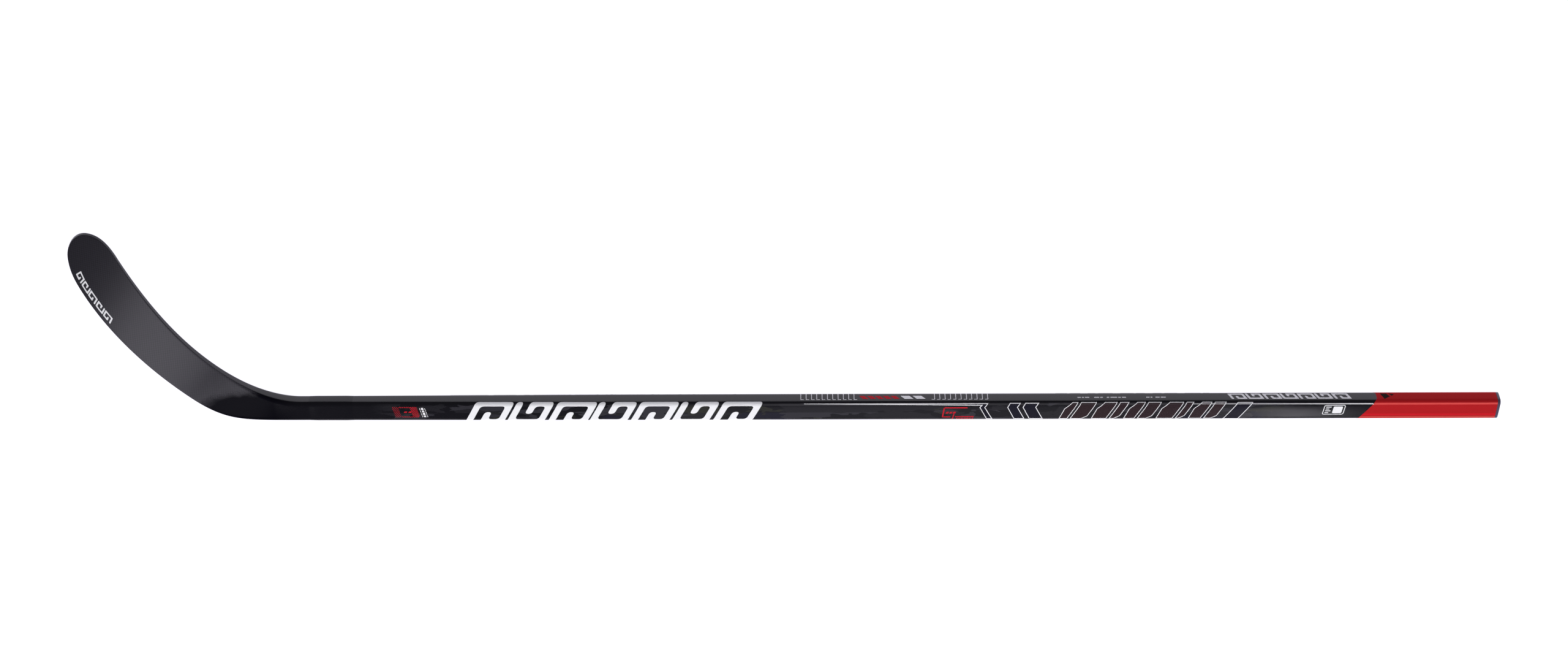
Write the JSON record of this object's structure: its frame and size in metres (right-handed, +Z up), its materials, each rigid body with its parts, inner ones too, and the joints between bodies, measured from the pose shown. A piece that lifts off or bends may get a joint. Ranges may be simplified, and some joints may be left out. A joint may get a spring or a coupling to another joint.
{
  "type": "ice hockey stick",
  "caption": "Composite ice hockey stick: hollow rounded-rectangular shaft with a plugged butt, and a curved left-hand blade bonded on by a tenon.",
  "frame": {"origin": "bottom centre of the box of the stick as it rests on the ice, backhand side up, on its toe and the shaft's heel-side edge", "axes": "+X along the shaft from the blade to the butt, +Y across the ice from the shaft towards the toe, +Z up"},
  "size_m": [1.6814, 0.2528, 0.0286],
  "materials": {
    "shaft_lacquer": "gloss",
    "joint_lacquer": "gloss",
    "blade_carbon": "satin",
    "edge_resin": "satin",
    "butt_plastic": "matte",
    "hot_melt_glue": "satin",
    "epoxy": "satin",
    "glass_laminate": "satin",
    "carbon_rib": "satin",
    "blade_foam": "matte",
    "bung_foam": "matte",
    "toe_rubber": "matte",
    "red_paint": "gloss",
    "white_print": "satin",
    "grey_print": "satin",
    "maroon_print": "satin"
  },
  "bodies": {
    "root": {"shaft_tube": "shaft_lacquer", "butt_end_plug": "butt_plastic", "butt_plug_glue": "hot_melt_glue", "shaft_foam_bung": "bung_foam", "blade_tenon": "glass_laminate", "tenon_bond": "epoxy", "joint_wrap": "joint_lacquer", "blade_bottom_rail": "edge_resin", "blade_top_rail": "edge_resin", "blade_toe_rail": "edge_resin", "blade_skin_backhand": "blade_carbon", "blade_skin_forehand": "blade_carbon", "heel_insert": "glass_laminate", "lower_foam_core": "blade_foam", "bridge_rib": "carbon_rib", "upper_foam_core": "blade_foam", "toe_insert": "toe_rubber"}
  },
  "joints": []
}
